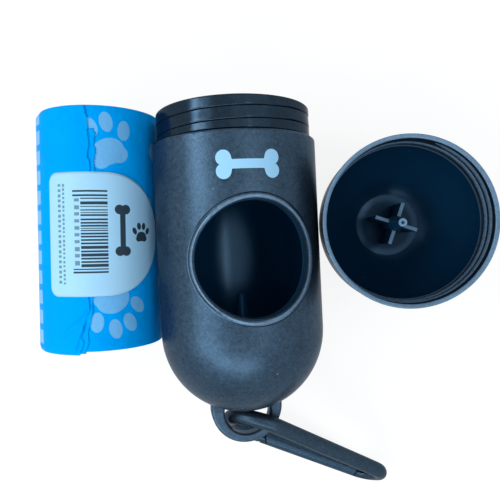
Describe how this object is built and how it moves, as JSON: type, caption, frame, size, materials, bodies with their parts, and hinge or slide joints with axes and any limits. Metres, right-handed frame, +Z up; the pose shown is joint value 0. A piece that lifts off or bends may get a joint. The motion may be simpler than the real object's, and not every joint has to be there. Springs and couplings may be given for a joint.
{
  "type": "dog waste bag dispenser",
  "caption": "Screw-top dispenser for a roll of dog waste bags, opened: domed body with a round window and a hang loop, domed cap, refill roll and carabiner.",
  "frame": {"origin": "on the body's axis at its shoulder, where the neck begins", "axes": "+Y along the body's axis out of the neck, +X to the side where the cap stands, +Z up from the table"},
  "size_m": [0.1187, 0.1077, 0.0425],
  "materials": {
    "body_plastic": "matte",
    "cap_plastic": "satin",
    "carabiner_plastic": "satin",
    "steel": "satin",
    "card": "matte",
    "bag_film": "satin",
    "label": "satin"
  },
  "bodies": {
    "dispenser": {"dispenser_body": "body_plastic"},
    "cap": {"screw_cap": "cap_plastic"},
    "carabiner": {"carabiner_frame": "carabiner_plastic", "gate_pin": "steel", "gate_spring": "steel"},
    "gate": {"carabiner_gate": "carabiner_plastic"},
    "roll": {"roll_core": "card"},
    "bags": {"wound_bags": "bag_film", "loose_bag_end": "bag_film", "roll_label": "label"}
  },
  "joints": [
    {"name": "cap_lift", "type": "slide", "parent": "dispenser", "child": "cap", "axis": [0, 0, 1], "range_m": [0, 0.06]},
    {"name": "roll_lift", "type": "slide", "parent": "dispenser", "child": "roll", "axis": [-0.2588, 0, 0.9659], "range_m": [0, 0.06]},
    {"name": "roll_spin", "type": "hinge", "parent": "roll", "child": "bags", "pos_m": [-0.03806, -0.01999, -0.0049], "axis": [-0.0349, -0.9994, 0], "continuous": true},
    {"name": "carabiner_swing", "type": "hinge", "parent": "dispenser", "child": "carabiner", "pos_m": [-0.00183, -0.0721, 0.00051], "axis": [-0.4082, -0.3374, -0.8482], "range_deg": [0, 80]},
    {"name": "gate_swing", "type": "hinge", "parent": "carabiner", "child": "gate", "pos_m": [0.00262, -0.08098, -0.01218], "axis": [-0.2717, -0.8031, 0.5303], "range_deg": [0, 11], "stiffness_Nm_per_rad": 0.02, "springref_deg": -20.05, "deforming": ["gate_spring"]}
  ]
}
